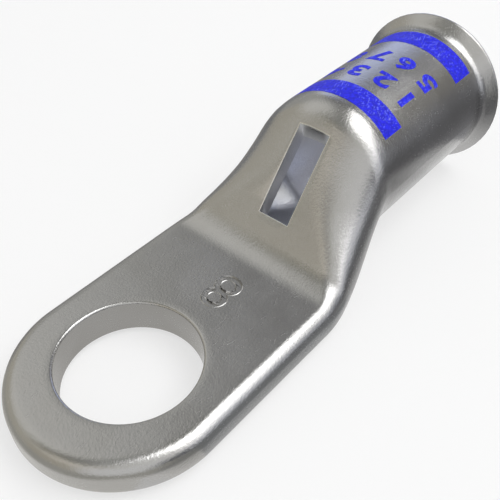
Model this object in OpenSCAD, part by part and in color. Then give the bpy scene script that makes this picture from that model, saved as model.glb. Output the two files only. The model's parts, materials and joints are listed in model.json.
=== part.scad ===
// Tinned copper cable lug with a flared mouth: one piece of tube, pressed flat
// at one end into a tongue with a bolt hole, and left round at the other end to
// take the wire. The origin is the centre of the bolt hole on the tongue's
// underside, +X runs towards the mouth and +Z is up.

/* [Tube] */
// Outside diameter of the round barrel
barrel_d = 8.1; // [7.6:0.05:9]
// Thickness of the tube's wall
wall = 0.93; // [0.7:0.01:1.05]
// Distance from the centre of the bolt hole to the mouth
mouth_x = 25.8; // [20:0.1:40]
// Height of the barrel's underside above the tongue's underside
barrel_lift = 0.3; // [0:0.05:0.8]

/* [Tongue] */
// Width of the flat tongue
tongue_w = 10.8; // [9.6:0.1:13]
// Distance from the centre of the bolt hole to the tip of the tongue
tip_x = 5.8; // [5:0.1:8]
// Rounding of the tongue's upper edge
upper_edge_r = 0.75; // [0.3:0.05:0.9]
// Rounding of the tongue's lower edge
lower_edge_r = 0.45; // [0.1:0.05:0.6]

/* [Bolt hole] */
// Diameter of the bolt hole
hole_d = 6.8; // [4.3:0.1:7.4]
// Width of the chamfer round the top of the bolt hole
hole_chamfer = 0.15; // [0.05:0.05:0.4]

/* [Bend] */
// Distance from the centre of the bolt hole to the foot of the slope
bend_x = 7.9; // [7:0.1:11]
// Angle of the slope above the tongue
slope_angle = 50.5; // [45:0.5:55]
// Radius of the hollow bend at the foot of the slope
foot_r = 2.2; // [1:0.1:3.5]
// Radius of the round shoulder at the top of the slope
shoulder_r = 1.8; // [1.2:0.1:2.4]

/* [Inspection window] */
// Width of the window in the slope
window_w = 1.8; // [1:0.1:2.6]
// Length of the window, measured along the slope
window_l = 5; // [3:0.1:5.5]
// Distance along the slope from the end of the hollow bend to the window
window_gap = 1.1; // [0.9:0.1:1.5]

/* [Flared mouth] */
// How far the rim stands out from the barrel
flare_h = 0.65; // [0.5:0.05:1.2]
// Angle of the flare to the barrel
flare_angle = 45; // [30:1:55]
// Radius of the bend where the flare leaves the barrel
flare_r = 0.8; // [0.3:0.1:1.2]
// Rounding of the rim's outer and inner edges
rim_r = 0.15; // [0.05:0.05:0.25]

/* [Hidden] */
$fn = 96;

// Steps in the round stretches of the lofted sections and of the profiles
corner_steps = 10;
foot_steps = 9;
slope_steps = 8;
shoulder_steps = 9;
flare_steps = 6;
// Least straight length left between two rounded corners
least_flat = 0.02;
// Overlap of pieces that are fused, and how far cuts run past a face
overlap = 0.05;
clear = 1;
// How much smaller the loft's last ring is, so that it ends inside the barrel
ring_inset = 0.005;
// Least height of the hollow, where the two walls part
least_gap = 0.1;
// How far the window's cut runs past the wall into the hollow
window_reach = 0.3;
// How far the window's ends move down the slope from its outer to its inner edge
window_lean = 0.5;
// Share of the transition at which the flanks start to draw in
flank_start = 0.05;
// Share of the transition by which the upper corners are fully round
upper_round_end = 0.66;
// Share of the transition by which the lower corners are fully round
lower_round_end = 0.9;

barrel_r = barrel_d / 2;
bore_r = barrel_r - wall;
// The tongue is the tube pressed flat, so it is two walls thick
tongue_t = 2 * wall;
half_w = tongue_w / 2;
axis_z = barrel_lift + barrel_r;

// The slope's straight length follows from the rise that the two arcs leave
rise = barrel_lift + barrel_d - tongue_t;
arc_rise = (foot_r + shoulder_r) * (1 - cos(slope_angle));
slope_l = (rise - arc_rise) / sin(slope_angle);
slope_x = bend_x + foot_r * sin(slope_angle);
slope_z = tongue_t + foot_r * (1 - cos(slope_angle));
shoulder_x = slope_x + slope_l * cos(slope_angle);
barrel_x = shoulder_x + shoulder_r * sin(slope_angle);

function smooth(t) = let (u = min(max(t, 0), 1)) u * u * (3 - 2 * u);
function mix(a, b, t) = a + (b - a) * t;
function progress(x) = (x - bend_x) / (barrel_x - bend_x);

// Points [x, z] along the top of the transition, a depth below the surface:
// the hollow arc at the foot, the straight slope, and the round shoulder
function top_line(depth) = let (
    foot = foot_r + depth,
    shoulder = shoulder_r - depth,
    foot_z = tongue_t + foot_r,
    shoulder_z = barrel_lift + barrel_d - shoulder_r
) concat(
    [for (i = [0 : foot_steps])
        let (a = slope_angle * i / foot_steps)
        [bend_x + foot * sin(a), foot_z - foot * cos(a)]],
    [for (i = [1 : slope_steps])
        let (s = slope_l * i / slope_steps)
        [slope_x + depth * sin(slope_angle) + s * cos(slope_angle),
         slope_z - depth * cos(slope_angle) + s * sin(slope_angle)]],
    [for (i = [1 : shoulder_steps])
        let (a = slope_angle * (1 - i / shoulder_steps))
        [barrel_x - shoulder * sin(a), shoulder_z + shoulder * cos(a)]]
);

// Closed outline [y, z] of a section: a bar with elliptical corners, which
// becomes a circle where both corner radii reach half its width
function section(half, bottom, top, upper, lower) = let (
    up = min(upper, half - least_flat),
    low = min(lower, half - least_flat),
    squash = min(1, (top - bottom - least_flat) / (up + low)),
    right = concat(
        [for (i = [0 : corner_steps])
            let (a = 90 * i / corner_steps)
            [half - low + low * sin(a), bottom + squash * low * (1 - cos(a))]],
        [for (i = [0 : corner_steps])
            let (a = 90 * i / corner_steps)
            [half - up + up * cos(a), top - squash * up * (1 - sin(a))]]
    )
) concat(right, [for (i = [len(right) - 1 : -1 : 0]) [-right[i][0], right[i][1]]]);

// Section of the tube at x, a depth below its skin, whose top is at height top
function tube_section(x, top, depth) = let (
    u = progress(x),
    low = min(1, u / lower_round_end),
    half = mix(half_w, barrel_r, smooth((u - flank_start) / (1 - flank_start))),
    upper = mix(upper_edge_r, barrel_r, smooth(u / upper_round_end)),
    lower = mix(lower_edge_r, barrel_r, low * low),
    bottom = barrel_lift * smooth(u)
) section(half - depth, bottom + depth, top,
    max(upper - depth, least_flat), max(lower - depth, least_flat));

// Rings of the transition, a depth below its skin, with one more that reaches
// a little way into the barrel
function tube_rings(depth, least) = let (
    line = [for (p = top_line(depth)) if (p[1] - depth >= least) p],
    end = barrel_r - depth - ring_inset
) concat(
    [for (p = line) [for (q = tube_section(p[0], p[1], depth)) [p[0], q[0], q[1]]]],
    [[for (q = section(end, axis_z - end, axis_z + end, end, end))
        [barrel_x + overlap, q[0], q[1]]]]
);

// Solid through a list of rings with equal counts of points
module loft(rings) {
    n = len(rings[0]);
    last = len(rings) - 1;
    polyhedron(
        points = [for (ring = rings) each ring],
        faces = concat(
            [[for (i = [0 : n - 1]) i]],
            [for (k = [0 : last - 1], i = [0 : n - 1])
                [k * n + i, (k + 1) * n + i, k * n + (i + 1) % n]],
            [for (k = [0 : last - 1], i = [0 : n - 1])
                [(k + 1) * n + i, (k + 1) * n + (i + 1) % n, k * n + (i + 1) % n]],
            [[for (i = [n - 1 : -1 : 0]) last * n + i]]
        )
    );
}

// Flat bar with rounded edges and a half round end
module tongue() {
    outline = section(half_w, 0, tongue_t, upper_edge_r, lower_edge_r);
    end_x = half_w - tip_x;
    translate([end_x, 0, 0])
        rotate([90, 0, 90])
            linear_extrude(bend_x - end_x)
                polygon(outline);
    translate([end_x, 0, 0])
        rotate([0, 0, 90])
            rotate_extrude(angle = 180)
                polygon(concat([for (p = outline) if (p[0] > 0) p], [[0, tongue_t], [0, 0]]));
}

// Where the flare starts, worked back along its cone from the rim
rim_x = mouth_x - rim_r;
crest_r = barrel_r + flare_h - rim_r;
cone_x = rim_x - rim_r * sin(flare_angle);
cone_r = crest_r + rim_r * cos(flare_angle);
flare_bend_r = barrel_r + flare_r * (1 - cos(flare_angle));
flare_bend_x = cone_x - (cone_r - flare_bend_r) / tan(flare_angle);
flare_x = flare_bend_x - flare_r * sin(flare_angle);

// The bell inside keeps the wall's thickness until it nears the rim
bell_r = flare_r + wall;
bell_angle = min(flare_angle, asin(min(1, (rim_x - flare_x) / (bell_r - rim_r))));
bell_x = flare_x + bell_r * sin(bell_angle);
bell_end_r = bore_r + bell_r * (1 - cos(bell_angle));
lip_x = rim_x + rim_r * sin(bell_angle);
lip_r = bell_end_r + (lip_x - bell_x) * tan(bell_angle) + rim_r * cos(bell_angle);

// Outline [r, x] of the barrel, its flare and its rounded rim
function barrel_outline() = concat(
    [[0, barrel_x], [barrel_r, barrel_x]],
    [for (i = [0 : flare_steps])
        let (a = flare_angle * i / flare_steps)
        [barrel_r + flare_r * (1 - cos(a)), flare_x + flare_r * sin(a)]],
    [for (i = [0 : flare_steps])
        let (a = mix(90 + flare_angle, 0, i / flare_steps))
        [crest_r + rim_r * sin(a), rim_x + rim_r * cos(a)]],
    [[0, mouth_x]]
);

// Outline [r, x] of the bore, its bell and the rounded inner edge of the rim
function bore_outline() = concat(
    [[0, barrel_x], [bore_r, barrel_x]],
    [for (i = [0 : flare_steps])
        let (a = bell_angle * i / flare_steps)
        [bore_r + bell_r * (1 - cos(a)), flare_x + bell_r * sin(a)]],
    [for (i = [1 : flare_steps])
        let (a = mix(bell_angle, 90, i / flare_steps))
        [lip_r - rim_r * cos(a), rim_x + rim_r * sin(a)]],
    [[lip_r, mouth_x + clear], [0, mouth_x + clear]]
);

// Turns an outline [r, x] round the barrel's axis
module turned(outline) {
    translate([0, 0, axis_z])
        rotate([0, 90, 0])
            rotate_extrude()
                polygon(outline);
}

// Bolt hole with a chamfer round its top
module bolt_hole() {
    translate([0, 0, -clear])
        cylinder(d = hole_d, h = tongue_t + 2 * clear);
    translate([0, 0, tongue_t - hole_chamfer])
        cylinder(d1 = hole_d, d2 = hole_d + 4 * hole_chamfer, h = 2 * hole_chamfer);
}

// Square-cornered window, punched through the sloping wall a little nearer to
// the upright than square to the slope
module window() {
    depth = wall + window_reach;
    lower = window_gap;
    upper = window_gap + window_l;
    lean = window_lean / wall;
    translate([slope_x, 0, slope_z])
        rotate([0, -slope_angle, 0])
            translate([0, window_w / 2, 0])
                rotate([90, 0, 0])
                    linear_extrude(window_w)
                        polygon([
                            [lower + lean * clear, clear], [lower - lean * depth, -depth],
                            [upper - lean * depth, -depth], [upper + lean * clear, clear]
                        ]);
}

// The whole lug: skin first, then the hollow, the window and the hole
module lug() {
    color("silver")
    difference() {
        union() {
            tongue();
            loft(tube_rings(0, 0));
            turned(barrel_outline());
        }
        loft(tube_rings(wall, least_gap));
        turned(bore_outline());
        window();
        bolt_hole();
    }
}

lug();
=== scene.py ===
"""Tinned copper cable lug: the lug's skin, its stamped number and its ink, with the studio round it."""
import json
import math

import bmesh
import bpy
from mathutils import Matrix, Vector

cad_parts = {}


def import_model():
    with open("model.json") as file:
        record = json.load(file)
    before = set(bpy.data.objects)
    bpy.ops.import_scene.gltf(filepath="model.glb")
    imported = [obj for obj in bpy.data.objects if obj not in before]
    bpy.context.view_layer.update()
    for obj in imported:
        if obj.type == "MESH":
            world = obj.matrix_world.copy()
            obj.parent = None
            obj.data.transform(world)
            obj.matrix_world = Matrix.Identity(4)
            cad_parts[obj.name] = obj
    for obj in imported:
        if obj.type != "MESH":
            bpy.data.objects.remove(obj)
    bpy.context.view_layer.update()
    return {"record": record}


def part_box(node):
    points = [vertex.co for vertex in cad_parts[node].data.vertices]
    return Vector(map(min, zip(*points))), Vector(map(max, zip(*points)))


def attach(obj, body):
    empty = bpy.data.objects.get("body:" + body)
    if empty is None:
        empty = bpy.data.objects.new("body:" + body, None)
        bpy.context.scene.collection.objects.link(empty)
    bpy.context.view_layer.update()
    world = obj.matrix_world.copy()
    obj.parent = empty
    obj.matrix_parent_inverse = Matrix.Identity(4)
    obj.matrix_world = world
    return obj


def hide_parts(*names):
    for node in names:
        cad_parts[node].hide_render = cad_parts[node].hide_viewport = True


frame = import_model()

MM = 0.001

# Sizes read from the frame
mounts = {m["name"]: m for m in frame["record"]["mounts"]}
lug_low, lug_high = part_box("lug")
HOLE_R = mounts["bolt_hole"]["dims"]["r_mm"] * MM
BORE_R = mounts["wire_barrel"]["dims"]["r_mm"] * MM
AXIS_Z = mounts["wire_barrel"]["pos_m"][2]
TONGUE_T = mounts["nut_face"]["pos_m"][2]
WALL = TONGUE_T / 2
BARREL_R = BORE_R + WALL
BARREL_LIFT = AXIS_Z - BARREL_R
HALF_W = lug_high[1]
TIP_X = lug_low[0]
MOUTH_X = lug_high[0]
FLARE_R = lug_high[2] - AXIS_Z

# Tongue: its rounded edges, the fillet round the bolt hole, the border inside its flats, and the centre
# of its round end
UPPER_EDGE_R = 0.75 * MM
LOWER_EDGE_R = 0.45 * MM
HOLE_EDGE_R = 0.15 * MM
FLAT_MARGIN = 0.3 * MM
END_X = TIP_X + HALF_W

# Bend: where the slope's foot starts, the slope's angle, and the arcs at its foot and its shoulder
BEND_X = 7.9 * MM
SLOPE = math.radians(50.5)
FOOT_R = 2.2 * MM
SHOULDER_R = 1.8 * MM

# Shares of the bend at which the flanks start to draw in and the corners are fully round
FLANK_START = 0.05
UPPER_ROUND_END = 0.66
LOWER_ROUND_END = 0.9

# The straight slope's length and lower end, and where the barrel starts, follow from the rise
RISE = 2 * BARREL_R + BARREL_LIFT - TONGUE_T
SLOPE_L = (RISE - (FOOT_R + SHOULDER_R) * (1 - math.cos(SLOPE))) / math.sin(SLOPE)
SLOPE_X = BEND_X + FOOT_R * math.sin(SLOPE)
SLOPE_Z = TONGUE_T + FOOT_R * (1 - math.cos(SLOPE))
BARREL_X = SLOPE_X + SLOPE_L * math.cos(SLOPE) + SHOULDER_R * math.sin(SLOPE)

# Inspection window, measured along the slope: its ends lie lower down the slope at the hollow than at
# the skin, by the lean
WINDOW_HALF_W = 0.9 * MM
WINDOW_L = 5 * MM
WINDOW_GAP = 1.1 * MM
WINDOW_LEAN = 0.5 * MM
WINDOW_EDGE = 0.08 * MM

# Depth under the slope's plane from which the window's walls start
WALL_START = 0.95 * WINDOW_EDGE

# Lines along the tube from the window's side to its middle, and the room kept beside the window
WINDOW_LINES = (WINDOW_HALF_W, WINDOW_HALF_W / 2, 0)
WINDOW_ROOM = 0.3 * MM

# Flared mouth
FLARE_ANGLE = math.radians(45)
FLARE_BEND_R = 0.8 * MM
RIM_R = 0.15 * MM

# Ink on the barrel: two bands, and two rows of plain numbers between them
FRONT_BAND = (15.4 * MM, 16.9 * MM)
REAR_BAND = (22.7 * MM, 24.3 * MM)
BAND_HALF_ANGLE = math.radians(48.6)
NUMBER_ROWS = (("1234", 18.4 * MM), ("5678", 20.6 * MM))
NUMBER_ANGLES = [math.radians(a) for a in (34.5, 11.5, -11.5, -34.5)]
NUMBER_H = 1.35 * MM
NUMBER_WEIGHT = 0.032
NUMBER_STRETCH = 1.2

# Film of ink: how far it reaches into and out of the skin, and the width of its flat strips
INK_SINK = 0.01 * MM
INK_RISE = 0.012 * MM
INK_STRIP = 0.2 * MM

# Number stamped into the tongue: its raised lip, and its floor inside sloping walls
STAMP = "8"
STAMP_AT = (5.8 * MM, -0.4 * MM)
STAMP_H = 2.4 * MM
STAMP_WEIGHT = 0.01
STAMP_LIP = 0.03 * MM
STAMP_LIP_H = 0.02 * MM
STAMP_SLOPE = 0.05 * MM
STAMP_DEPTH = 0.08 * MM

# Tin: colours, with a painted light for the hollow and a painted highlight for the window's outer edge, and
# the roughness of clear and of cloudy patches
TIN = (0.44, 0.437, 0.43)
TIN_DARK = (0.41, 0.405, 0.394)
# Painted light: a near-white colour that brightens the hollow
HOLLOW_PAINTED_LIGHT = (0.95, 0.96, 0.99)
# Painted highlight: a light colour along the window's rounded outer edge
PAINTED_EDGE_HIGHLIGHT = (0.75, 0.75, 0.73)
TIN_ROUGH = (0.19, 0.27)

# Roughness added in the hollow, on cut walls and in scratches, and how metallic a cut wall stays
INSIDE_ROUGH = 0.1
CUT_ROUGH = 0.25
SCRATCH_ROUGH = 0.06
CUT_METAL = 0.6

# Painted light: the hollow's colour brightens inwards between these places
HOLLOW_LIGHT_FROM = 24 * MM
HOLLOW_LIGHT_FULL = 20 * MM

# How far the window's end and side walls take the finish of a cut and the painted light of the hollow
END_CUT = 1
SIDE_CUT = 0.25
END_PAINTED_LIGHT = 0.85
SIDE_PAINTED_LIGHT = 0.6

# Ink: colours, roughness, gloss, and the share that is gone in the worn specks
INK = (0.012, 0.014, 0.8)
INK_DEEP = (0.009, 0.01, 0.56)
INK_PALE = (0.16, 0.2, 0.95)
INK_ROUGH = 0.5
INK_GLOSS = 0.2
INK_WORN = 0.7

# Patterns: blobs to a millimetre, and heights in the surface
GRAIN_SCALE = 9
WAVE_SCALE = 1.3
CLOUD_SCALE = 0.35
MOTTLE_SCALE = 5
SPECK_SCALE = 5
GRAIN_H = 0.012 * MM
WAVE_H = 0.006 * MM
SCRATCH_H = 0.001 * MM

# Noise over which the tin goes from dark to light and from clear to cloudy, the ink from deep to full,
# and over which a speck of the ink wears through
SHADE_RANGE = (0.35, 0.65)
CLOUD_RANGE = (0.3, 0.7)
MOTTLE_RANGE = (0.36, 0.6)
SPECK_RANGE = (0.72, 0.76)

# Scratches: blobs to a millimetre along and across them and in their thicker patches, the weight of the
# patches, the width of their soft edge, and for each way they run its bearing and the least noise shown
SCRATCH_SCALE = (1.3, 20, 20)
PATCH_SCALE = 0.8
PATCH_WEIGHT = 0.25
SCRATCH_SOFT = 0.05
TIN_SCRATCHES = ((25, 0.845), (-15, 0.855))
INK_SCRATCHES = ((20, 0.785), (-50, 0.795))

# Steps in the round stretches, and along the straight ones
CORNER_STEPS = 12
FOOT_STEPS = 14
SHOULDER_STEPS = 14
FLARE_STEPS = 8
END_STEPS = 64
HOLE_STEPS = 96
HOLE_EDGE_STEPS = 5
WINDOW_EDGE_STEPS = 2
NUMBER_STEPS = 8
WINDOW_STEPS = 12
BARREL_STEPS = 6
TONGUE_STEPS = 8

# Least flat between two rounded corners, least height of the hollow, and the angle of a crisp edge
LEAST_FLAT = 0.02 * MM
LEAST_GAP = 0.1 * MM
CREASE = math.radians(32)

# How close two places are the same, how close vertices are merged, in metres for the lug and in the
# font's units for a number, and how short edges are dissolved
SAME_PLACE = 0.00001 * MM
MERGE_GAP = 0.002 * MM
FONT_GAP = 0.00001
LEAST_EDGE = 0.0001 * MM


def smooth(t):
    """Smooth step from 0 to 1."""
    t = min(max(t, 0), 1)
    return t * t * (3 - 2 * t)


def mix(a, b, t):
    """Value between a and b."""
    return a + (b - a) * t


def steps(count, first=0):
    """Shares from first / count to 1."""
    return [i / count for i in range(first, count + 1)]


# Section of the tube

def corner_points(half, radius, squash):
    """Points (y, height from the flat) of an elliptical corner, from the flank to the middle of the flat.

    The last ones stand on the window's lines, so that every section has the same count."""
    flat = half - radius
    end_y = max(flat, WINDOW_HALF_W + WINDOW_ROOM)
    end = math.acos(min(1, (end_y - flat) / radius))
    arc = [end * t for t in steps(CORNER_STEPS)]
    points = [(flat + radius * math.cos(a), squash * radius * (1 - math.sin(a))) for a in arc]
    for y in WINDOW_LINES:
        past = max(0, y - flat)
        points.append((y, squash * (radius - math.sqrt(radius * radius - past * past))))
    return points


def section(x, half, bottom, top, upper, lower):
    """Ring of points round the tube at x, from the middle of its underside by way of +Y."""
    upper = min(upper, half - LEAST_FLAT)
    lower = min(lower, half - LEAST_FLAT)
    squash = min(1, (top - bottom - LEAST_FLAT) / (upper + lower))
    under = [(y, bottom + h) for y, h in corner_points(half, lower, squash)]
    over = [(y, top - h) for y, h in corner_points(half, upper, squash)]
    right = under[::-1] + over
    left = [(-y, z) for y, z in right[-2:0:-1]]
    return [Vector((x, y, z)) for y, z in right + left]


def tube_section(x, top, depth):
    """Ring of the bend at x, a depth below the skin."""
    u = (x - BEND_X) / (BARREL_X - BEND_X)
    half = mix(HALF_W, BARREL_R, smooth((u - FLANK_START) / (1 - FLANK_START)))
    upper = mix(UPPER_EDGE_R, BARREL_R, smooth(u / UPPER_ROUND_END))
    lower = mix(LOWER_EDGE_R, BARREL_R, min(1, u / LOWER_ROUND_END) ** 2)
    bottom = BARREL_LIFT * smooth(u)
    return section(x, half - depth, bottom + depth, top,
                   max(upper - depth, LEAST_FLAT), max(lower - depth, LEAST_FLAT))


def round_section(x, radius):
    """Ring of the barrel at x."""
    return section(x, radius, AXIS_Z - radius, AXIS_Z + radius, radius, radius)


def foot_line(depth):
    """Points (x, z) of the hollow bend at the foot of the slope."""
    arc = FOOT_R + depth
    return [(BEND_X + arc * math.sin(SLOPE * t), TONGUE_T + FOOT_R - arc * math.cos(SLOPE * t))
            for t in steps(FOOT_STEPS)]


def window_start(depth):
    """Place along the slope of the window's lower end, a depth below the skin."""
    return WINDOW_GAP - WINDOW_LEAN * depth / WALL


def slope_line(depth):
    """Points (x, z) up the straight slope, with one at each end of the window."""
    start = window_start(depth)
    along = [start / 2]
    along += [start + WINDOW_L * t for t in steps(WINDOW_STEPS)]
    along += [(start + WINDOW_L + SLOPE_L) / 2, SLOPE_L]
    return [(SLOPE_X + depth * math.sin(SLOPE) + s * math.cos(SLOPE),
             SLOPE_Z - depth * math.cos(SLOPE) + s * math.sin(SLOPE)) for s in along]


def shoulder_line(depth):
    """Points (x, z) of the round shoulder where the slope meets the barrel."""
    arc = SHOULDER_R - depth
    centre_z = BARREL_LIFT + 2 * BARREL_R - SHOULDER_R
    return [(BARREL_X - arc * math.sin(SLOPE * (1 - t)), centre_z + arc * math.cos(SLOPE * (1 - t)))
            for t in steps(SHOULDER_STEPS, 1)]


def bend_rings(depth, least=0):
    """Rings from the foot of the slope to the barrel, left out where the hollow is lower than the least."""
    line = foot_line(depth) + slope_line(depth) + shoulder_line(depth)
    return [tube_section(x, z, depth) for x, z in line if z - depth >= least]


def flare_line():
    """Points (x, r) of the barrel's outer skin from the bend to the mouth's face, and the flare's start."""
    rim_x = MOUTH_X - RIM_R
    crest_r = FLARE_R - RIM_R
    cone_x = rim_x - RIM_R * math.sin(FLARE_ANGLE)
    cone_r = crest_r + RIM_R * math.cos(FLARE_ANGLE)
    bend_r = BARREL_R + FLARE_BEND_R * (1 - math.cos(FLARE_ANGLE))
    bend_x = cone_x - (cone_r - bend_r) / math.tan(FLARE_ANGLE)
    start_x = bend_x - FLARE_BEND_R * math.sin(FLARE_ANGLE)
    barrel = [(mix(BARREL_X, start_x, t), BARREL_R) for t in steps(BARREL_STEPS, 1)]
    bend = [(start_x + FLARE_BEND_R * math.sin(FLARE_ANGLE * t),
             BARREL_R + FLARE_BEND_R * (1 - math.cos(FLARE_ANGLE * t))) for t in steps(FLARE_STEPS, 1)]
    turn = [mix(math.pi / 2 + FLARE_ANGLE, 0, t) for t in steps(FLARE_STEPS)]
    rim = [(rim_x + RIM_R * math.cos(a), crest_r + RIM_R * math.sin(a)) for a in turn]
    return barrel + bend + rim, start_x


def bell_line(start_x):
    """Points (x, r) from the mouth's face in through the bell and back along the bore."""
    rim_x = MOUTH_X - RIM_R
    bell_r = FLARE_BEND_R + WALL
    angle = math.asin((rim_x - start_x) / (bell_r - RIM_R))
    end_r = BORE_R + bell_r * (1 - math.cos(angle))
    lip_r = end_r + RIM_R * math.cos(angle)
    turn = [mix(math.pi / 2, angle, t) for t in steps(FLARE_STEPS)]
    lip = [(rim_x + RIM_R * math.sin(a), lip_r - RIM_R * math.cos(a)) for a in turn]
    bell = [(start_x + bell_r * math.sin(angle * (1 - t)),
             BORE_R + bell_r * (1 - math.cos(angle * (1 - t)))) for t in steps(FLARE_STEPS, 1)]
    bore = [(mix(start_x, BARREL_X, t), BORE_R) for t in steps(BARREL_STEPS, 1)]
    return lip + bell + bore[:-1]


# Mesh helpers

def verts_of(result):
    """The new vertices in an operator's result."""
    return [e for e in result["geom"] if isinstance(e, bmesh.types.BMVert)]


def edges_of(result):
    """The new edges in an operator's result."""
    return [e for e in result["geom"] if isinstance(e, bmesh.types.BMEdge)]


def edges_along(verts):
    """The edges from each vertex to the next."""
    return [next(e for e in a.link_edges if e.other_vert(a) == b) for a, b in zip(verts, verts[1:])]


def ring_edges(ring):
    """The edges of a closed ring of vertices, in order."""
    return edges_along(ring + ring[:1])


def level_edges(edges, z):
    """Those edges that lie level at height z."""
    return [e for e in edges if all(abs(vert.co.z - z) < SAME_PLACE for vert in e.verts)]


def open_edges(bm, z):
    """The edges at height z that have a face on one side only."""
    return [e for e in level_edges(bm.edges, z) if e.is_boundary]


def first_ring(bm, points):
    """A closed ring of vertices through the points, made from a circle."""
    ring = bmesh.ops.create_circle(bm, segments=len(points), radius=MM)["verts"]
    for vert, point in zip(ring, points):
        vert.co = point
    return ring


def next_ring(bm, ring, points):
    """Extrudes a ring of edges and places the new ring on the points."""
    where = {vert.co.to_tuple(): i for i, vert in enumerate(ring)}
    made = verts_of(bmesh.ops.extrude_edge_only(bm, edges=ring_edges(ring)))
    made.sort(key=lambda vert: where[vert.co.to_tuple()])
    for vert, point in zip(made, points):
        vert.co = point
    return made


def loft(bm, rings):
    """Skin through rings of points. Gives back every ring of vertices."""
    made = [first_ring(bm, rings[0])]
    for points in rings[1:]:
        made.append(next_ring(bm, made[-1], points))
    return made


def rectangle(low, high, z=0):
    """A bmesh of a flat rectangle between two corners (x, y), at height z."""
    bm = bmesh.new()
    bmesh.ops.create_grid(bm, x_segments=1, y_segments=1, size=0.5)
    for vert in bm.verts:
        vert.co = (mix(low[0], high[0], vert.co.x + 0.5), mix(low[1], high[1], vert.co.y + 0.5), z)
    return bm


def number_shape(text, height, weight, stretch=1):
    """A flat bmesh of a plain number, centred, with its feet towards -Y."""
    outline = bpy.data.curves.new("number", "FONT")
    outline.body = text
    outline.offset = weight
    outline.resolution_u = NUMBER_STEPS
    mesh = bpy.data.meshes.new_from_object(bpy.data.objects.new("number", outline))
    bm = bmesh.new()
    bm.from_mesh(mesh)
    bmesh.ops.remove_doubles(bm, verts=bm.verts, dist=FONT_GAP)
    low = [min(v.co[k] for v in bm.verts) for k in range(2)]
    high = [max(v.co[k] for v in bm.verts) for k in range(2)]
    scale = height / (high[1] - low[1])
    for vert in bm.verts:
        vert.co.x = (vert.co.x - (low[0] + high[0]) / 2) * scale * stretch
        vert.co.y = (vert.co.y - (low[1] + high[1]) / 2) * scale
    return bm


def add_shape(bm, shape):
    """Adds a finished bmesh to another and frees it."""
    copy = bpy.data.meshes.new("shape")
    shape.to_mesh(copy)
    shape.free()
    bm.from_mesh(copy)


def new_piece(name, bm):
    """An object in the scene from a finished bmesh."""
    bmesh.ops.recalc_face_normals(bm, faces=bm.faces)
    mesh = bpy.data.meshes.new(name)
    bm.to_mesh(mesh)
    bm.free()
    piece = bpy.data.objects.new(name, mesh)
    bpy.context.scene.collection.objects.link(piece)
    return piece


def shade(piece):
    """Smooth shading, with sharp edges left crisp and flats kept flat."""
    for face in piece.data.polygons:
        face.use_smooth = True
    piece.data.set_sharp_from_angle(angle=CREASE)
    flats = piece.modifiers.new("flat_faces", "WEIGHTED_NORMAL")
    flats.keep_sharp = True


# Lug

def tongue_side(bm, side):
    """The rounded edge along one side of the tongue. Gives back its edges where the round end starts."""
    edges = edges_along(side)
    for t in steps(TONGUE_STEPS, 1):
        made = bmesh.ops.extrude_edge_only(bm, edges=edges)
        for vert in verts_of(made):
            vert.co.x = mix(BEND_X, END_X, t)
        edges = [e for e in edges_of(made) if abs(e.verts[0].co.x - e.verts[1].co.x) < SAME_PLACE]
    return edges


def tongue_edge(bm, ring):
    """The rounded edge of the tongue: straight along both sides, and spun round its end."""
    start = len(WINDOW_LINES)
    count = 2 * (CORNER_STEPS + 1)
    end_edges = tongue_side(bm, ring[start:start + count])
    tongue_side(bm, ring[-start - count + 1:-start + 1])
    bmesh.ops.spin(bm, geom=end_edges, cent=(END_X, 0, 0), axis=(0, 0, 1), angle=math.pi,
                   steps=END_STEPS, use_merge=False, use_duplicate=False)
    bmesh.ops.remove_doubles(bm, verts=bm.verts, dist=MERGE_GAP)


def hole_wall(bm):
    """The wall of the bolt hole, with a small fillet at its upper edge."""
    rim = bmesh.ops.create_circle(bm, segments=HOLE_STEPS, radius=HOLE_R + HOLE_EDGE_R)["verts"]
    for vert in rim:
        vert.co.z = TONGUE_T
    edges = list({edge for vert in rim for edge in vert.link_edges})
    turn = [math.pi / 2 * t for t in steps(HOLE_EDGE_STEPS, 1)]
    fillet = [(HOLE_R + HOLE_EDGE_R * (1 - math.sin(a)), TONGUE_T - HOLE_EDGE_R * (1 - math.cos(a)))
              for a in turn]
    for radius, z in fillet + [(HOLE_R, TONGUE_T / 2), (HOLE_R, 0)]:
        made = bmesh.ops.extrude_edge_only(bm, edges=edges)
        for vert in verts_of(made):
            out = Vector((vert.co.x, vert.co.y, 0)).normalized() * radius
            vert.co = (out.x, out.y, z)
        edges = level_edges(edges_of(made), z)


def inward(x, y):
    """Direction from a place on the rim of the tongue's flat into the flat."""
    if math.hypot(x, y) < HOLE_R + 2 * HOLE_EDGE_R:
        return Vector((x, y)).normalized()
    if x < END_X:
        return Vector((END_X - x, -y)).normalized()
    at_bend = abs(x - BEND_X) < SAME_PLACE
    at_side = abs(y) > HALF_W - 2 * UPPER_EDGE_R
    return Vector((-1 if at_bend else 0, -math.copysign(1, y) if at_side else 0))


def flat_margin(bm, z):
    """A narrow border inside the edges of a flat, which keeps the shading of the flat even."""
    for vert in verts_of(bmesh.ops.extrude_edge_only(bm, edges=open_edges(bm, z))):
        vert.co.xy += inward(vert.co.x, vert.co.y) * FLAT_MARGIN


def stamped_number(bm):
    """The raised lip, the sloping walls and the floor of the number stamped into the tongue's top."""
    number = number_shape(STAMP, STAMP_H, STAMP_WEIGHT)
    middle = number.faces[:]
    for width, z in ((STAMP_LIP, STAMP_LIP_H), (STAMP_SLOPE, -STAMP_DEPTH)):
        bmesh.ops.inset_region(number, faces=middle, thickness=width, use_even_offset=True,
                               use_boundary=True)
        for vert in {vert for face in middle for vert in face.verts}:
            vert.co.z = z
    for vert in number.verts:
        u, v, z = vert.co
        vert.co = (STAMP_AT[0] - v, STAMP_AT[1] + u, TONGUE_T + z)
    add_shape(bm, number)


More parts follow.
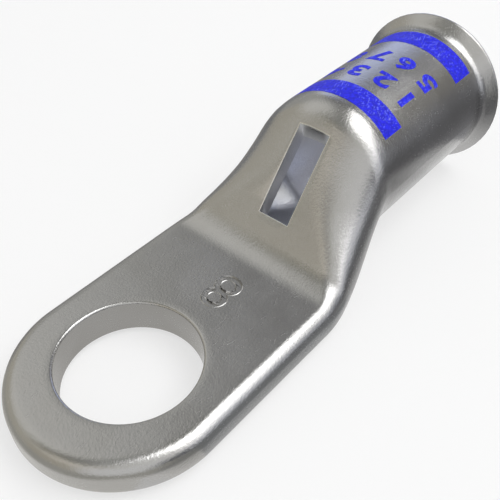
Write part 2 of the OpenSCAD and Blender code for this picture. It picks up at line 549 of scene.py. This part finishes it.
def tongue_flats(bm):
    """The flat top and underside of the tongue, round the bolt hole and the stamped number."""
    for z, normal in ((TONGUE_T, (0, 0, 1)), (0, (0, 0, -1))):
        flat_margin(bm, z)
        if z > 0:
            stamped_number(bm)
        bmesh.ops.triangle_fill(bm, edges=open_edges(bm, z), use_beauty=True, use_dissolve=False,
                                normal=normal)


def slope_place(vert):
    """How far a vertex lies up the straight slope, and how deep under its plane."""
    x = vert.co.x - SLOPE_X
    z = vert.co.z - SLOPE_Z
    return x * math.cos(SLOPE) + z * math.sin(SLOPE), x * math.sin(SLOPE) - z * math.cos(SLOPE)


def finish_window_wall(bm, vert):
    """Gives a vertex of the window's walls the finish of an end wall or of a side wall, with its share of
    the hollow's painted light.
    """
    along, depth = slope_place(vert)
    start = window_start(depth)
    at_end = min(along - start, start + WINDOW_L - along) < 2 * WINDOW_EDGE
    vert[bm.verts.layers.float["cut"]] = END_CUT if at_end else SIDE_CUT
    vert[bm.verts.layers.float["inside"]] = END_PAINTED_LIGHT if at_end else SIDE_PAINTED_LIGHT


def inspection_window(bm, outer, inner):
    """Opens the window through both skins, closes its four sides, rounds its outer edge and gives the
    rounding a painted highlight.
    """
    first = len(foot_line(0)) + 1
    last = first + WINDOW_STEPS
    middle = len(outer[0]) // 2
    side = len(WINDOW_LINES) - 1
    rims = []
    for rings in (outer, inner):
        skip = len(outer) - len(rings)
        block = [ring[middle - side:middle + side + 1] for ring in rings[first - skip:last - skip + 1]]
        opening = {vert for row in block for vert in row}
        gone = [f for f in bm.faces if all(v in opening for v in f.verts)]
        bmesh.ops.delete(bm, geom=gone, context="FACES")
        rims.append([e for e in bm.edges if e.is_boundary and all(v in opening for v in e.verts)])
    bmesh.ops.bridge_loops(bm, edges=rims[0] + rims[1])
    rounded = bmesh.ops.bevel(bm, geom=rims[0], offset=WINDOW_EDGE, offset_type="OFFSET",
                              segments=WINDOW_EDGE_STEPS, profile=0.5, affect="EDGES", material=-1)
    rounding = set(rounded["faces"])
    walls = {vert for edge in rims[1] for vert in edge.verts}
    # Painted highlight: vertices within the rounded outer edge get a light colour
    for vert in rounded["verts"]:
        if all(face in rounding for face in vert.link_faces):
            vert[bm.verts.layers.float["worn"]] = 1
        elif slope_place(vert)[1] > WALL_START:
            walls.add(vert)
    for vert in walls:
        finish_window_wall(bm, vert)


def lug():
    """The whole lug in one closed skin."""
    bm = bmesh.new()
    for name in ("inside", "cut", "worn"):
        bm.verts.layers.float.new(name)
    inside = bm.verts.layers.float["inside"]
    bend = bend_rings(0)
    outside, flare_x = flare_line()
    barrel = [round_section(x, r) for x, r in outside]
    bell = [round_section(x, r) for x, r in bell_line(flare_x)]
    hollow = bend_rings(WALL, LEAST_GAP)[::-1]
    rings = loft(bm, bend + barrel + bell + hollow)
    # Painted light: each vertex of the hollow gets its share of a lighter colour, growing inwards
    for ring in rings[len(bend) + len(barrel):]:
        for vert in ring:
            vert[inside] = smooth((HOLLOW_LIGHT_FROM - vert.co.x) / (HOLLOW_LIGHT_FROM - HOLLOW_LIGHT_FULL))
    bmesh.ops.contextual_create(bm, geom=ring_edges(rings[-1]))
    tongue_edge(bm, rings[0])
    # The window comes after the merge in tongue_edge, which then gives the same mesh each run
    inspection_window(bm, rings[:len(bend)], rings[-len(hollow):][::-1])
    hole_wall(bm)
    tongue_flats(bm)
    return new_piece("lug_body", bm)


# Ink

def wrap(bm, at_x, at_angle):
    """Lays a flat shape on the barrel as a thin film, with its top towards the tongue."""
    reach = max(abs(v.co.x) for v in bm.verts)
    cuts = int(reach / INK_STRIP)
    for k in range(-cuts, cuts + 1):
        bmesh.ops.bisect_plane(bm, geom=bm.verts[:] + bm.edges[:] + bm.faces[:], dist=SAME_PLACE,
                               plane_co=(k * INK_STRIP, 0, 0), plane_no=(1, 0, 0))
    bmesh.ops.dissolve_degenerate(bm, dist=LEAST_EDGE, edges=bm.edges)
    raised = set(verts_of(bmesh.ops.extrude_face_region(bm, geom=bm.faces[:])))
    for vert in bm.verts:
        u, v, _ = vert.co
        angle = at_angle - u / BARREL_R
        radius = BARREL_R + (INK_RISE if vert in raised else -INK_SINK)
        vert.co = (at_x - v, -radius * math.sin(angle), AXIS_Z + radius * math.cos(angle))


def ink_band(name, start, end):
    """A band of ink across the top of the barrel, from start to end along it."""
    half_l = BAND_HALF_ANGLE * BARREL_R
    half_w = (end - start) / 2
    bm = rectangle((-half_l, -half_w), (half_l, half_w))
    wrap(bm, (start + end) / 2, 0)
    return new_piece(name, bm)


def ink_numbers():
    """Rows of plain numbers between the bands, in one piece."""
    bm = bmesh.new()
    for row, at_x in NUMBER_ROWS:
        for text, angle in zip(row, NUMBER_ANGLES):
            number = number_shape(text, NUMBER_H, NUMBER_WEIGHT, NUMBER_STRETCH)
            wrap(number, at_x, angle)
            add_shape(bm, number)
    return new_piece("ink_numbers", bm)


# Materials

def node(tree, kind, **values):
    """Adds a shader node. A name in small letters is one of the node's own settings, and any other name,
    or _ and a number, is a socket, which is set or linked."""
    made = tree.nodes.new(kind)
    for name, value in values.items():
        if hasattr(made, name) and not name[0].isupper():
            setattr(made, name, value)
            continue
        socket = made.inputs[int(name[1:]) if name[1:].isdigit() else name.replace("_", " ")]
        if isinstance(value, bpy.types.NodeSocket):
            tree.links.new(value, socket)
        else:
            socket.default_value = value
    return made


def new_material(name):
    """A material with an empty Principled shader. Gives back the material, its tree and the shader."""
    material = bpy.data.materials.new(name)
    material.use_nodes = True
    return material, material.node_tree, material.node_tree.nodes["Principled BSDF"]


def millimetres(tree, scale=(1, 1, 1), turn=0):
    """Object coordinates in millimetres, turned about Z and then scaled along each axis."""
    where = node(tree, "ShaderNodeTexCoord").outputs["Object"]
    turned = node(tree, "ShaderNodeMapping", vector_type="TEXTURE", Vector=where,
                  Rotation=(0, 0, math.radians(turn)))
    scaled = node(tree, "ShaderNodeMapping", Vector=turned.outputs[0], Scale=[k / MM for k in scale])
    return scaled.outputs[0]


def noise(tree, where, scale, detail=2.0, roughness=0.5):
    """Noise from 0 to 1."""
    return node(tree, "ShaderNodeTexNoise", Vector=where, Scale=scale, Detail=detail,
                Roughness=roughness).outputs["Fac"]


def ranged(tree, value, low, high, to_low=0.0, to_high=1.0):
    """Value mapped from one range to another and kept inside it."""
    return node(tree, "ShaderNodeMapRange", Value=value, From_Min=low, From_Max=high, To_Min=to_low,
                To_Max=to_high).outputs[0]


def math_node(tree, operation, a, b):
    """One sum on two values."""
    return node(tree, "ShaderNodeMath", operation=operation, _0=a, _1=b).outputs[0]


def plus(tree, value, share, amount):
    """A value and a share of an amount added up."""
    return math_node(tree, "ADD", value, math_node(tree, "MULTIPLY", share, amount))


def attribute(tree, name):
    """A layer of the mesh, from 0 to 1."""
    return node(tree, "ShaderNodeAttribute", attribute_name=name).outputs["Fac"]


def blend(tree, share, first, second):
    """Mix of two colours, which are given as values or as sockets."""
    mixed = node(tree, "ShaderNodeMix", data_type="RGBA", Factor=share)
    for socket, colour in ((mixed.inputs[6], first), (mixed.inputs[7], second)):
        if isinstance(colour, bpy.types.NodeSocket):
            tree.links.new(colour, socket)
        else:
            socket.default_value = (*colour, 1)
    return mixed.outputs[2]


def scratch_lines(tree, turn, least):
    """Mask of fine, short scratches that run one way and lie thicker in patches."""
    lines = noise(tree, millimetres(tree, SCRATCH_SCALE, turn), 1.0, detail=1.0)
    patches = noise(tree, millimetres(tree), PATCH_SCALE, detail=1.0)
    return ranged(tree, plus(tree, lines, patches, PATCH_WEIGHT), least, least + SCRATCH_SOFT)


def scratches(tree, first, second):
    """Mask of fine, short scratches that run two ways."""
    return math_node(tree, "MAXIMUM", scratch_lines(tree, *first), scratch_lines(tree, *second))


def tin_surface(tree):
    """Grain, waves, scratches and clouds of the tin. Gives back its colour, roughness and height."""
    where = millimetres(tree)
    grain = noise(tree, where, GRAIN_SCALE, detail=3.0, roughness=0.65)
    waves = noise(tree, where, WAVE_SCALE)
    cloud = noise(tree, where, CLOUD_SCALE, detail=3.0)
    hairs = scratches(tree, *TIN_SCRATCHES)
    colour = blend(tree, ranged(tree, cloud, *SHADE_RANGE), TIN_DARK, TIN)
    rough = plus(tree, ranged(tree, cloud, *CLOUD_RANGE, *TIN_ROUGH), hairs, SCRATCH_ROUGH)
    height = plus(tree, math_node(tree, "MULTIPLY", grain, GRAIN_H), waves, WAVE_H)
    return colour, rough, plus(tree, height, hairs, -SCRATCH_H)


def bump(tree, height, shader):
    """Puts a height in metres on a shader as bump."""
    made = node(tree, "ShaderNodeBump", Height=height, Distance=1.0)
    tree.links.new(made.outputs[0], shader.inputs["Normal"])


def tinned_copper():
    """Satin tin plating, with painted light in the hollow and a painted highlight on the window's outer
    edge, duller on its cut walls.
    """
    material, tree, shader = new_material("tinned_copper")
    colour, rough, height = tin_surface(tree)
    hollow_light_share = attribute(tree, "inside")
    cut = attribute(tree, "cut")
    # Painted light in the hollow and a painted highlight on the window's outer edge lighten the colour
    colour = blend(tree, attribute(tree, "worn"), blend(tree, hollow_light_share, colour, HOLLOW_PAINTED_LIGHT), PAINTED_EDGE_HIGHLIGHT)
    tree.links.new(colour, shader.inputs["Base Color"])
    rough = plus(tree, plus(tree, rough, hollow_light_share, INSIDE_ROUGH), cut, CUT_ROUGH)
    tree.links.new(rough, shader.inputs["Roughness"])
    tree.links.new(ranged(tree, cut, 0.0, 1.0, 1.0, CUT_METAL), shader.inputs["Metallic"])
    bump(tree, height, shader)
    return material


def blue_ink():
    """Printed ink, mottled, rubbed paler in fine lines and worn through to the tin in specks."""
    material, tree, shader = new_material("blue_ink")
    bare, _, height = tin_surface(tree)
    where = millimetres(tree)
    mottle = ranged(tree, noise(tree, where, MOTTLE_SCALE), *MOTTLE_RANGE)
    specks = noise(tree, where, SPECK_SCALE, detail=3.0, roughness=0.7)
    worn = ranged(tree, specks, *SPECK_RANGE, 0.0, INK_WORN)
    rubbed = scratches(tree, *INK_SCRATCHES)
    colour = blend(tree, rubbed, blend(tree, mottle, INK_DEEP, INK), INK_PALE)
    tree.links.new(blend(tree, worn, colour, bare), shader.inputs["Base Color"])
    tree.links.new(worn, shader.inputs["Metallic"])
    shader.inputs["Roughness"].default_value = INK_ROUGH
    shader.inputs["Specular IOR Level"].default_value = INK_GLOSS
    bump(tree, height, shader)
    return material


# Studio

# Camera: its place, the way it looks, its upright, and its lens on a sensor of this width
PHOTO_CAMERA = Vector((-11.3209, -16.8759, 26.937)) * MM
PHOTO_VIEW = Vector((0.55444, 0.47334, -0.68451))
PHOTO_UP = Vector((0.52025, 0.44485, 0.729))
LENS = 50
SENSOR_W = 36
CLIP_START = 1 * MM

# Floor, just below the lug, and how strongly the floor and the surroundings glow
FLOOR_Z = lug_low[2] - 0.02 * MM
FLOOR_REACH = 2
FLOOR_GREY = 0.9
FLOOR_ROUGH = 0.9
FLOOR_WHITE = 0.6
WORLD_LIGHT = 0.6

# Lamp over the lug: its place, size, turn about the upright in degrees, and power in watts
LAMP_AT = (0.135, -0.15, 0.3)
LAMP_SIZE = (0.28, 0.26)
LAMP_TURN = 15
LAMP_WATTS = 0.72

# Cards that stand round the lug: radius, lower and upper edge, first and last bearing in degrees, colour
CARD_STEPS = 24
WALL_CARDS = {
    "low_wall": (0.45, 0, 0.35, 44, 80, (0.56, 0.56, 0.54)),
    "grey_wall": (0.45, 0.35, 1.7, 44, 53, (0.52, 0.52, 0.51)),
    "middle_wall": (0.45, 0.35, 1.7, 53, 64, (0.68, 0.68, 0.66)),
    "mild_wall": (0.45, 0.35, 1.4, 64, 80, (0.92, 0.91, 0.88)),
    "pale_wall": (0.45, 0, 0.3, 80, 146, (0.66, 0.63, 0.55)),
    "pale_top": (0.45, 0.3, 1.4, 80, 128, (0.92, 0.91, 0.87)),
    "warm_end": (0.45, 0.3, 0.7, 128, 139, (0.84, 0.82, 0.76)),
    "warm_wall": (0.45, 0, 0.25, 146, 188, (0.62, 0.58, 0.49)),
    "olive_card": (0.44, 0.3, 0.72, 139, 156, (0.34, 0.32, 0.24)),
    "warm_top": (0.45, 0.25, 0.5, 154, 188, (0.98, 0.92, 0.82)),
    "dark_top": (0.44, 0.5, 1.7, 128, 190, (0.32, 0.31, 0.26)),
    "turning_card": (0.44, 0.42, 0.9, 188, 214, (0.76, 0.74, 0.69)),
    "sky_card": (0.45, 0.38, 0.8, -146, -100, (0.9, 0.9, 0.87)),
    "blue_card": (0.42, 0.05, 0.24, 14, 40, (0.9, 1.0, 1.38)),
    "low_card": (0.42, 0, 0.05, -14, 44, (0.34, 0.36, 0.52)),
    "upper_card": (0.42, 0.24, 0.85, -14, 44, (0.31, 0.31, 0.32)),
    "side_card": (0.42, 0.05, 0.24, -14, 14, (0.8, 0.8, 0.88)),
    "dark_card": (0.42, 0, 0.1, -112, -84, (0.15, 0.16, 0.18)),
    "dark_side": (0.42, 0.1, 0.16, -112, -84, (0.32, 0.32, 0.35)),
    "low_side": (0.42, 0, 0.03, -84, -44, (0.28, 0.3, 0.34)),
    "middle_side": (0.43, 0.03, 0.2, -84, -60, (1.1, 1.12, 1.2)),
    "grey_side": (0.43, 0.03, 0.25, -60, -44, (0.58, 0.6, 0.66)),
    "pale_side": (0.42, 0.2, 0.36, -84, -46, (2.4, 2.4, 2.45)),
    "dark_end": (0.42, 0.1, 0.4, -44, -14, (0.3, 0.29, 0.27)),
    "low_end": (0.42, 0, 0.1, -44, -14, (0.2, 0.2, 0.21)),
}

# Level cards: height, two corners (x, y), colour, and where the card fades in Y the colour at the far end
# and both ends of the fade. Most lie just over the floor, one in the bolt hole, one on top of another,
# and one is a ceiling
CARD_Z = lug_low[2] + 0.01 * MM
HOLE_CARD_Z = 0.01 * MM
UPPER_CARD_Z = CARD_Z + 0.02 * MM
CEILING_Z = CARD_Z + 0.6
FRONT_FADE = (-0.014, -0.0045)
LEVEL_CARDS = {
    "front_floor": (CARD_Z, (0.012, -0.5), (0.0235, 0), (0.17, 0.17, 0.18), (0.8, 0.8, 0.8), FRONT_FADE),
    "cone_floor": (CARD_Z, (0.0235, -0.5), (0.028, 0), (0.36, 0.36, 0.37), (0.9, 0.9, 0.9), FRONT_FADE),
    "end_floor": (CARD_Z, (0.028, -0.5), (0.5, 0), (0.17, 0.17, 0.18), (0.38, 0.38, 0.4), FRONT_FADE),
    "rim_floor": (CARD_Z, (-0.0005, -0.5), (0.012, -HALF_W),
                  (0.3, 0.31, 0.32), (1, 1, 1), (-0.0066, -0.0054)),
    "corner_floor": (CARD_Z, (-0.004, -0.5), (-0.0005, -HALF_W),
                     (0.38, 0.38, 0.37), (1, 0.99, 0.97), (-0.0076, -0.0055)),
    "hole_floor": (HOLE_CARD_Z, (-HOLE_R, -HOLE_R), (HOLE_R, HOLE_R),
                   (1, 1, 1), (0.66, 0.65, 0.63), (-0.0035, -0.001)),
    "back_floor": (CARD_Z, (-0.004, 0.0066), (0.5, 0.5),
                   (0.36, 0.35, 0.34), (0.24, 0.25, 0.28), (0.01, 0.04)),
    "tip_floor": (CARD_Z, (-0.5, -0.5), (-0.004, 0.5), (0.54, 0.53, 0.49)),
    "tip_near_floor": (UPPER_CARD_Z, (-0.0072, -0.0062), (-0.004, 0.006),
                       (0.86, 0.85, 0.82), (0.6, 0.59, 0.55), (0, 0.006)),
    "mouth_floor": (CARD_Z, (0.0275, 0), (0.5, 0.0066), (0.36, 0.37, 0.48)),
    "ceiling_card": (CEILING_Z, (-0.5, -0.09), (0.35, 0.2), (0.38, 0.38, 0.36)),
}


def camera():
    """The camera of the photograph."""
    data = bpy.data.cameras.new("camera")
    data.lens = LENS
    data.sensor_width = SENSOR_W
    data.clip_start = CLIP_START
    eye = bpy.data.objects.new("camera", data)
    back = -PHOTO_VIEW.normalized()
    up = (PHOTO_UP - PHOTO_UP.dot(back) * back).normalized()
    right = up.cross(back)
    turn = Matrix((right, up, back)).transposed().to_4x4()
    eye.matrix_world = Matrix.Translation(PHOTO_CAMERA) @ turn
    bpy.context.scene.collection.objects.link(eye)
    bpy.context.scene.camera = eye


def seen_rays(tree):
    """1 for rays from the camera, reflections and glass, and 0 for the rest."""
    rays = node(tree, "ShaderNodeLightPath").outputs
    seen = math_node(tree, "MAXIMUM", rays["Is Camera Ray"], rays["Is Glossy Ray"])
    return math_node(tree, "MAXIMUM", seen, rays["Is Transmission Ray"])


def floor():
    """Plain white floor that keeps a soft shadow, and is clear from below to show the lug's underside."""
    plane = new_piece("floor", rectangle((-FLOOR_REACH, -FLOOR_REACH), (FLOOR_REACH, FLOOR_REACH), FLOOR_Z))
    material, tree, shader = new_material("floor")
    shader.inputs["Base Color"].default_value = (FLOOR_GREY, FLOOR_GREY, FLOOR_GREY, 1)
    shader.inputs["Roughness"].default_value = FLOOR_ROUGH
    white = node(tree, "ShaderNodeEmission", Color=(1, 1, 1, 1))
    share = math_node(tree, "MULTIPLY", seen_rays(tree), FLOOR_WHITE)
    above = node(tree, "ShaderNodeMixShader", _0=share, _1=shader.outputs[0], _2=white.outputs[0])
    clear = node(tree, "ShaderNodeBsdfTransparent")
    back = node(tree, "ShaderNodeNewGeometry").outputs["Backfacing"]
    both = node(tree, "ShaderNodeMixShader", _0=back, _1=above.outputs[0], _2=clear.outputs[0])
    tree.links.new(both.outputs[0], tree.nodes["Material Output"].inputs["Surface"])
    plane.data.materials.append(material)


def reflected_only(piece, colour, far_colour=None, fade=None):
    """Makes a piece of the stage a glowing card that only reflections see, in one colour or fading in Y."""
    material, tree, _ = new_material(piece.name)
    glow = node(tree, "ShaderNodeEmission", Color=(*colour, 1))
    if fade:
        where = node(tree, "ShaderNodeTexCoord").outputs["Object"]
        along = node(tree, "ShaderNodeSeparateXYZ", Vector=where).outputs["Y"]
        share = math_node(tree, "POWER", ranged(tree, along, *fade), 2.0)
        tree.links.new(blend(tree, share, colour, far_colour), glow.inputs["Color"])
    tree.links.new(glow.outputs[0], tree.nodes["Material Output"].inputs["Surface"])
    piece.data.materials.append(material)
    piece.visible_camera = False
    piece.visible_shadow = False
    piece.visible_diffuse = False


def wall_card(name, radius, low, high, first, last, colour):
    """A curved card that stands round the lug, between two heights and two bearings."""
    bm = bmesh.new()
    turn = Matrix.Rotation(math.radians(first), 3, "Z")
    ends = [bmesh.ops.create_vert(bm, co=turn @ Vector((radius, 0, z)))["vert"][0] for z in (low, high)]
    edge = bmesh.ops.contextual_create(bm, geom=ends)["edges"]
    bmesh.ops.spin(bm, geom=edge, cent=(0, 0, 0), axis=(0, 0, 1), angle=math.radians(last - first),
                   steps=CARD_STEPS, use_duplicate=False)
    reflected_only(new_piece(name, bm), colour)


def level_card(name, z, low, high, *colours):
    """A level card at height z, in one colour or with a fade."""
    reflected_only(new_piece(name, rectangle(low, high, z)), *colours)


def ceiling_light():
    """The soft lamp over the lug, which looks straight down."""
    data = bpy.data.lights.new("ceiling_light", "AREA")
    data.shape = "RECTANGLE"
    data.size, data.size_y = LAMP_SIZE
    data.energy = LAMP_WATTS
    lamp = bpy.data.objects.new("ceiling_light", data)
    lamp.location = LAMP_AT
    lamp.rotation_euler = (0, 0, math.radians(LAMP_TURN))
    bpy.context.scene.collection.objects.link(lamp)


def world():
    """Surroundings that are white to the camera and in reflections, and light the scene a little less."""
    made = bpy.data.worlds.new("studio")
    made.use_nodes = True
    tree = made.node_tree
    level = node(tree, "ShaderNodeMapRange", Value=seen_rays(tree), To_Min=WORLD_LIGHT, To_Max=1.0)
    tree.nodes["Background"].inputs["Color"].default_value = (1, 1, 1, 1)
    tree.links.new(level.outputs[0], tree.nodes["Background"].inputs["Strength"])
    bpy.context.scene.world = made


camera()
floor()
world()
ceiling_light()
for name, card in WALL_CARDS.items():
    wall_card(name, *card)
for name, card in LEVEL_CARDS.items():
    level_card(name, *card)

tin = tinned_copper()
ink = blue_ink()
body = lug()
body.data.materials.append(tin)
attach(body, "root")
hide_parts("lug")
shade(body)
bands = (ink_band("front_ink_band", *FRONT_BAND), ink_band("rear_ink_band", *REAR_BAND))
for film in (*bands, ink_numbers()):
    film.data.materials.append(ink)
    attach(film, "root")
    shade(film)

bpy.context.scene.view_settings.view_transform = "Standard"
